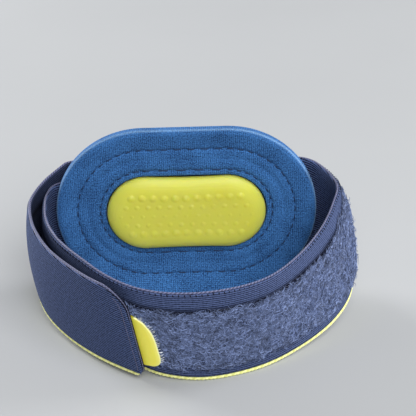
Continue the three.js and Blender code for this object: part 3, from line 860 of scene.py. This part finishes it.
print("pile", round(PILE_HIGH - PILE_LOW, 1), "mm wide, and at its start",
      round(pile_top(PILE_FROM) - PILE_LOW, 1))

# %% Loops as strips
FILAMENT = 0.19                  # width in millimetres, a few real filaments together
STRAY = 0.03                     # share of the loops that stand out of the pile
STRAY_CLEAR = 9.0                # none of them this near to the flap's end
rng = np.random.default_rng(11)


def loop_strips(name, far_from, far_to, loops):
    """Arched strips, laid by the brush, on one length of the band."""
    far = rng.uniform(far_from, far_to, loops)
    high = PILE_LOW + 0.2 + rng.random(loops) * (pile_top(far) - PILE_LOW - 0.2)
    tuft = tufted(far, high)
    way = swirl(far, high) + rng.normal(0, 0.6, loops)
    length = rng.uniform(1.0, 2.4, loops)
    tall = (0.3 + 0.7 * tuft) * rng.uniform(0.5, 1.15, loops)
    tall = tall * np.where((rng.random(loops) < STRAY) & (far < tab_end - STRAY_CLEAR), 1.9, 1.0)
    close = rng.uniform(0.55, 1.0, loops)
    t = np.linspace(0, 1, 5)
    bend = rng.normal(0, 1.3, loops)[:, None] * t ** 2
    step_far = np.cos(way[:, None] + bend) * length[:, None] * t
    step_high = np.sin(way[:, None] + bend) * length[:, None] * t
    arch = np.sin(math.pi * close[:, None] * t)
    lift = PILE_FOOT + np.where(high < PILE_HIGH, 0.45, 0.0)[:, None] + tall[:, None] * arch
    middle = on_band(far[:, None] + step_far, high[:, None] + step_high, lift)
    ahead = unit(np.gradient(middle, axis=1))
    wide = unit(np.cross(ahead, unit(rng.normal(0, 1, (loops, 1, 3)) + np.array([0, -1.2, 0.6]))))
    half = FILAMENT / 2 * np.array([0.8, 1, 1, 0.9, 0.5])[None, :, None]
    points = np.stack([middle - wide * half, middle + wide * half], 2)
    faces = (np.arange(loops) * 10)[:, None, None] + grid_faces(5, 2, False)[None]
    # painted shade darker between tufts, with random tone from loop to loop
    shade = np.clip(-0.1 + 0.65 * tuft + 0.75 * rng.random(loops) ** 2, 0, 1)
    ruler = np.stack(np.broadcast_arrays(shade[:, None, None], arch[:, :, None] + 0 * points[..., 0]), -1)
    piece = make_piece(name, points.reshape(-1, 3), faces.reshape(-1, 4), ruler.reshape(-1, 2))
    return piece


# %% Grow the loops
LOOPS = 15000                    # in each of three lengths of the band
HIDDEN_LOOPS = 5000              # under the flap

cuts = np.linspace(PILE_FROM, tab_end + 4, 4)
pile = [loop_strips("loops_" + name, a, b, LOOPS)
        for name, a, b in zip(("right", "front_right", "front"), cuts, cuts[1:])]
pile.append(loop_strips("loops_under_flap", cuts[-1], pile_to, HIDDEN_LOOPS))

# %% [markdown]
# ## Brushed nylon loops
# Nylon filaments are smooth and slightly clear, so each catches a thin light along its length. The
# colour paints the tips pale and the roots dark, as painted light and shade. The ruler of each strip
# holds its own shade, painted shade between tufts and random tone from loop to loop, and how high it
# stands, so that tufts differ from each other. The knitted ground below is the same nylon, dull, and
# its colour is painted dark as shade, because little light comes down to it.

# %% Nylon loops and their ground
GROUND_TUFTS = 0.9               # in a millimetre

loops_material, tree = new_material("navy brushed nylon loops", Roughness=0.6, IOR=1.53,
                                    Specular_IOR_Level=0.3, Sheen_Weight=0.2, Sheen_Tint=linear("#AEBBDD"))
ruler = add_node(tree, "UVMap", uv_map="millimetres").outputs["UV"]
parts = add_node(tree, "SeparateXYZ", {"Vector": ruler})
# painted light and shade: each loop dark at the root and pale at its top
tone = add_node(tree, "Math", {0: parts.outputs["X"], 1: parts.outputs["Y"]}, operation="MULTIPLY")
navy = add_node(tree, "ValToRGB", {"Fac": tone.outputs[0]}, ((0.0, "#0C1126"), (0.9, "#7B8DBA")))
put_on(pile, loops_material, navy.outputs["Color"])

ground, tree = new_material("navy pile ground", Roughness=0.9, IOR=1.5, Specular_IOR_Level=0.2)
place = add_node(tree, "TexCoord").outputs["Object"]
tufts = add_node(tree, "TexNoise", {"Vector": place, "Scale": 1000 * GROUND_TUFTS, "Detail": 3.0})
# painted shade: the ground is kept dark because little light reaches it under the loops
navy = add_node(tree, "ValToRGB", {"Fac": tufts.outputs["Fac"]}, ((0.0, "#0C1024"), (1.0, "#222B48")))
relief = add_node(tree, "Bump", {"Height": tufts.outputs["Fac"], "Strength": 0.8, "Distance": 0.0004})
put_on([bed], ground, navy.outputs["Color"], relief)

# %% [markdown]
# ## The stitched upper edge
# A slim cord of paler, mauve yarn closes the upper edge, and a dark thread whips it to the band,
# which looks like a row of small dots under the cord. On the flap the cord is a little thicker, and
# it thins as it goes on round the corner, where a fine seam follows the flap's end. A picture of
# stitches would blur close up, so all three are threads of mesh.

# %% Cord
CORD_RADIUS = 0.3
CORD_STEPS, CORNER_STEPS = 800, 60
CORD_SIDES = 8
CORD_HIGH = BAND_WIDTH - 0.1
FLAP_THICKER = 0.1               # the cord's radius grows by this much on the flap

cord_end = BAND_LENGTH - FLAP_SLANT - FLAP_TOP_ROUND
round_end = 1 - np.cos(np.linspace(0, math.pi / 2, CORNER_STEPS)[1:])
cord_high = np.concatenate([np.full(CORD_STEPS, CORD_HIGH), CORD_HIGH - (BAND_WIDTH - 2.0) * round_end])
cord_far = np.concatenate([np.linspace(0.3, cord_end, CORD_STEPS),
                           BAND_LENGTH - flap_cut(cord_high[CORD_STEPS:])])
cord_radius = np.interp(cord_high, [BAND_WIDTH - 4, CORD_HIGH], [0.14, CORD_RADIUS])
cord_radius = cord_radius + np.interp(cord_far, [RING_LENGTH, RING_LENGTH + 20, cord_end, cord_end + 8],
                                      [0, FLAP_THICKER, FLAP_THICKER, 0])
cord_lift = soft_wave(cord_far, cord_high, 0.0)
points, faces = thread_tubes(on_band(cord_far, cord_high, cord_lift)[None], cord_radius, CORD_SIDES)
along_cord = np.concatenate([[0], np.cumsum(np.hypot(np.diff(cord_far), np.diff(cord_high)))])
round_cord = np.arange(CORD_SIDES) * 2 * math.pi * CORD_RADIUS / CORD_SIDES
cord_ruler = np.stack([np.repeat(along_cord, CORD_SIDES), np.tile(round_cord, len(cord_far))], 1)
edge_cord = make_piece("edge_cord", points, faces, cord_ruler)

# %% Whipping under the cord
TOOTH_PITCH = 1.35
TOOTH_RADIUS = 0.19

tooth_far = np.arange(1.0, RING_LENGTH, TOOTH_PITCH)
t = np.linspace(0, 1, 6)
tooth_high = np.interp(t, [0, 0.6, 1], [BAND_WIDTH - 0.85, BAND_WIDTH - 0.55, BAND_WIDTH - 0.3])
tooth_lift = np.interp(t, [0, 0.2, 0.7, 1], [0.55, 0.66, 0.6, 0.4])
points, faces = thread_tubes(on_band(tooth_far[:, None] + 0.25 * t, tooth_high, tooth_lift), TOOTH_RADIUS)
edge_teeth = make_piece("edge_stitches", points, faces)

# %% Seam at the flap's end
SEAM_INSET = 1.5
SEAM_PITCH, SEAM_STITCH = 0.9, 0.75
SEAM_RADIUS = 0.12

seam_high = np.arange(3.0, BAND_WIDTH - 3.0, SEAM_PITCH)[:, None] + np.linspace(0, SEAM_STITCH, 5)
seam_far = BAND_LENGTH - SEAM_INSET - flap_cut(seam_high)
seam_lift = soft_wave(seam_far, seam_high, -BAND_THICKNESS / 2 - 0.05)
points, faces = thread_tubes(on_band(seam_far, seam_high, seam_lift), SEAM_RADIUS)
flap_seam = make_piece("flap_seam", points, faces)

# %% [markdown]
# ## Mauve yarn and its threads
# The cord is twisted from several strands of polyester, and its colour paints light and shade in
# short slanting bands along the twist.
# The seam's thread is a little duller than the cord, and the whipping is nearly black, so that it
# reads as a row of gaps.

# %% Mauve cord
TWIST_PITCH = 0.5                # millimetres between strands

cord_yarn, tree = new_material("mauve polyester cord", Roughness=0.75, IOR=1.5, Sheen_Weight=0.2)
ruler = add_node(tree, "UVMap", uv_map="millimetres").outputs["UV"]
twist = add_node(tree, "TexWave", {"Vector": ruler, "Scale": wave_scale(TWIST_PITCH), "Distortion": 1.0,
                                   "Detail": 1.0}, bands_direction="DIAGONAL")
# painted light and shade along the twist of the strands
mauve = add_node(tree, "ValToRGB", {"Fac": twist.outputs["Fac"]}, ((0.0, "#363A54"), (1.0, "#6E7299")))
relief = add_node(tree, "Bump", {"Height": twist.outputs["Fac"], "Strength": 0.6, "Distance": 0.0001})
put_on([edge_cord], cord_yarn, mauve.outputs["Color"], relief)
strand_material([flap_seam], "grey mauve sewing thread", "#3E3F5C", "#5E5E7E",
                Roughness=0.7, Sheen_Weight=0.2)
strand_material([edge_teeth], "black whipping thread", "#090C18", "#12182A",
                Roughness=0.8, Specular_IOR_Level=0.2)

# %% [markdown]
# ## The hook tab
# The flap ends in a moulded tab of fine hooks, and its rounded lip reaches past the flap so that it
# can be lifted there. The lip is a thin plate with a rolled rim. The outermost hooks show along its
# upper rim as short clear bristles.

# %% Outline of the lip
TAB_HIDDEN = 22.0                # length of the tab under the flap
# height across the band, reach past the flap
TAB_LIP = np.array([(5.4, 0.6), (6.0, 3.2), (7.2, 4.4), (9.0, 4.85), (12.2, 4.75), (16.4, 4.5),
                    (19.8, 3.8), (22.2, 2.6), (23.6, 0.8)])

lip = through(TAB_LIP, 8, 0.5)


def on_tab(inside, lift):
    """Rows of points over the tab: inside is how far in from the lip, as a share of its length."""
    high, reach = lip.T
    middle = (high[0] + high[-1]) / 2
    tip = tab_end - reach + flap_cut(high)
    root = tab_end + TAB_HIDDEN
    high = high + (middle - high) * 0.04 * inside[:, None]
    return on_band(tip + inside[:, None] * (root - tip), high, lift[:, None])


print("the lip reaches", round(lip[:, 1].max(), 1), "mm past the flap")

# %% Hook tab
TAB_THICKNESS = 0.6
TAB_FOOT = 2.15                  # height of its underside over the middle of the band
ROLL = 0.012                     # length of the rolled rim, as a share of the tab

bend = np.linspace(0, math.pi / 2, 6)
round_in = 1 - np.cos(bend)
shares = np.concatenate([[1, 0.4, 0.15, 0.05], ROLL * round_in[::-1],
                         ROLL * round_in[1:], [0.05, 0.15, 0.4, 1]])
half = TAB_THICKNESS / 2
lifts = half * np.concatenate([[-1] * 4, -np.sin(bend[::-1]), np.sin(bend[1:]), [1] * 4])
rows = on_tab(shares, TAB_FOOT + half + lifts)
# painted highlight along the lip's rim
rim = np.broadcast_to(np.clip(1 - shares / 0.016, 0, 1)[:, None], rows.shape[:2])
hook_tab = make_piece("hook_tab_lip", rows.reshape(-1, 3), grid_faces(*rows.shape[:2], False), thin=rim)
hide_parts("hook_tab")

# %% Bristles along the rim
BRISTLES = 34
BRISTLE_RADIUS = 0.07

picked = np.linspace(0.30, 0.97, BRISTLES)
lip_share = np.linspace(0, 1, len(lip))
high = np.interp(picked, lip_share, lip[:, 0]) + rng.normal(0, 0.15, BRISTLES)
reach = np.interp(picked, lip_share, lip[:, 1])
t = np.linspace(0, 1, 6)
length = rng.uniform(0.7, 1.5, BRISTLES)[:, None]
up_share = np.linspace(0.15, 0.85, BRISTLES)[:, None] + rng.normal(0, 0.15, (BRISTLES, 1))
far = (tab_end - reach + flap_cut(high))[:, None] - length * t * np.sqrt(np.clip(1 - up_share ** 2, 0, 1))
lift = TAB_FOOT + 0.1 + 0.35 * np.sin(math.pi * t)[None, :]
paths = on_band(far + 0.3, high[:, None] + length * up_share * t, lift)
points, faces = thread_tubes(paths, BRISTLE_RADIUS, 5)
bristles = make_piece("hook_bristles", points, faces)

# %% [markdown]
# ## Hook plastic
# Hook tabs are moulded in polyamide, dyed through, with a smooth satin back. Light goes a little way
# into it, and its thin rim is painted paler, a painted highlight for the light that shows through
# there. The bristles are the same plastic undyed, so they are nearly white.

# %% Hook materials
DYE_PATCHES = 0.16               # in a millimetre
SATIN_GRAINS = 3.0               # in a millimetre, drawn coarser than the real ten
BRISTLE_SPOTS = 0.7              # in a millimetre

hook_plastic, tree = new_material("yellow moulded polyamide", Roughness=0.38, IOR=1.53,
                                  Subsurface_Weight=0.08, Subsurface_Scale=0.001)
place = add_node(tree, "TexCoord").outputs["Object"]
cloudy = add_node(tree, "TexNoise", {"Vector": place, "Scale": 1000 * DYE_PATCHES, "Detail": 2.0})
body = add_node(tree, "ValToRGB", {"Fac": cloudy.outputs["Fac"]}, ((0.0, "#F2E84C"), (1.0, "#F7ED5A")))
grain = add_node(tree, "TexNoise", {"Vector": place, "Scale": 1000 * SATIN_GRAINS})
relief = add_node(tree, "Bump", {"Height": grain.outputs["Fac"], "Strength": 0.08, "Distance": 0.0001})
# painted highlight on the thin rim
thin = add_node(tree, "Attribute", attribute_name="thin")
rim_highlighted = add_node(tree, "Mix", {0: thin.outputs["Fac"], 6: body.outputs["Color"], 7: linear("#F6F4B4")},
                  data_type="RGBA")
put_on([hook_tab], hook_plastic, rim_highlighted.outputs[2], relief)

clear, tree = new_material("undyed polyamide bristle", Roughness=0.3, IOR=1.53)
place = add_node(tree, "TexCoord").outputs["Object"]
spots = add_node(tree, "TexNoise", {"Vector": place, "Scale": 1000 * BRISTLE_SPOTS})
body = add_node(tree, "ValToRGB", {"Fac": spots.outputs["Fac"]}, ((0.0, "#B9C0CC"), (1.0, "#EEF1F4")))
put_on([bristles], clear, body.outputs["Color"])

# %% [markdown]
# ## The slot plate
# Behind the pad a plain moulded plate carries the slot that the band turns in. It keeps its solid
# shape, so a copy with slightly rounded edges is enough.

# %% Slot plate
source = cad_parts["slot_plate"]
plate = bpy.data.objects.new("moulded_plate", source.data.copy())
bpy.context.scene.collection.objects.link(plate)
plate.matrix_world = source.matrix_world
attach(plate, "root")
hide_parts("slot_plate")
weld = plate.modifiers.new("weld", "WELD")
weld.merge_threshold = 0.00002
rounding = plate.modifiers.new("rounded edges", "BEVEL")
rounding.width = 0.0003
rounding.segments = 2
rounding.limit_method = "ANGLE"
print("slot plate with edges rounded by", 1000 * rounding.width, "mm")

# %% [markdown]
# ## Moulded polypropylene
# The plate is polypropylene from a lightly etched tool. The fine grain spreads the highlight, so it
# looks satin and a little uneven, and hardly mirrors a lamp even at a shallow angle.

# %% Polypropylene
ETCHED_GRAINS = 1.2              # in a millimetre, drawn coarser than the real five

plastic, tree = new_material("navy moulded polypropylene", Roughness=0.6, IOR=1.49, Specular_IOR_Level=0.25)
place = add_node(tree, "TexCoord").outputs["Object"]
grain = add_node(tree, "TexNoise", {"Vector": place, "Scale": 1000 * ETCHED_GRAINS, "Detail": 2.0})
body = add_node(tree, "ValToRGB", {"Fac": grain.outputs["Fac"]}, ((0.0, "#222B47"), (1.0, "#2B3554")))
relief = add_node(tree, "Bump", {"Height": grain.outputs["Fac"], "Strength": 0.2, "Distance": 0.0002})
plate.data.materials.clear()
put_on([plate], plastic, body.outputs["Color"], relief)

# %% [markdown]
# ## Floor and light
# A pale floor and large soft lamps show cloth best. The floor is a sheet of matt paper, whose fibres
# scatter the light and leave its tone a little uneven. The key lamp stands in front and above. Two
# lamps low behind the brace, one on each side, graze the cloth there: they light the pad's rim, whose
# colour also carries a painted highlight, and make the pile sparkle. A weaker fill beside the camera
# opens the shadows in the loop.

# %% Floor
FLOOR_HALF = 3.0                 # metres
FLOOR_DROP = -0.0002             # just under the brace
PAPER_PATCHES = 60.0             # of uneven tone across the sheet

floor = bpy.data.objects.new("floor", bpy.data.meshes.new("floor"))
corners = [(FLOOR_HALF * a, FLOOR_HALF * b, FLOOR_DROP) for a, b in ((-1, -1), (1, -1), (1, 1), (-1, 1))]
floor.data.from_pydata(corners, [], [(0, 1, 2, 3)])
bpy.context.scene.collection.objects.link(floor)
paper, tree = new_material("pale paper", Roughness=0.9)
fibres = add_node(tree, "TexNoise", {"Scale": PAPER_PATCHES, "Detail": 3.0})
tone = add_node(tree, "ValToRGB", {"Fac": fibres.outputs["Fac"]}, ((0.0, "#A9ABAD"), (1.0, "#AFB1B3")))
put_on([floor], paper, tone.outputs["Color"])

# %% Lamps
LAMP_AIM = Vector((0, 0, 0.02))
# name, place in metres, size, watts
LAMPS = (
    ("key", (0.28, -0.62, 0.76), 0.6, 8.0),
    ("right", (0.93, 0.22, 0.30), 0.5, 9.5),
    ("left", (-0.76, 0.60, 0.28), 0.5, 13.0),
    ("fill", (0.10, -0.82, 0.56), 0.5, 3.0),
)

for name, place, size, watts in LAMPS:
    lamp = bpy.data.objects.new(name, bpy.data.lights.new(name, "AREA"))
    lamp.data.size = size
    lamp.data.energy = watts
    lamp.location = place
    lamp.rotation_euler = (LAMP_AIM - Vector(place)).to_track_quat("-Z", "Y").to_euler()
    bpy.context.scene.collection.objects.link(lamp)
    print("lamp", name, watts, "W")

# %% Room light
bpy.context.scene.view_settings.view_transform = "Standard"
world = bpy.data.worlds.new("studio")
bpy.context.scene.world = world
world.use_nodes = True
background = world.node_tree.nodes["Background"]
background.inputs["Color"].default_value = linear("#F2F4F8")
background.inputs["Strength"].default_value = 0.25
print("room light", background.inputs["Strength"].default_value)
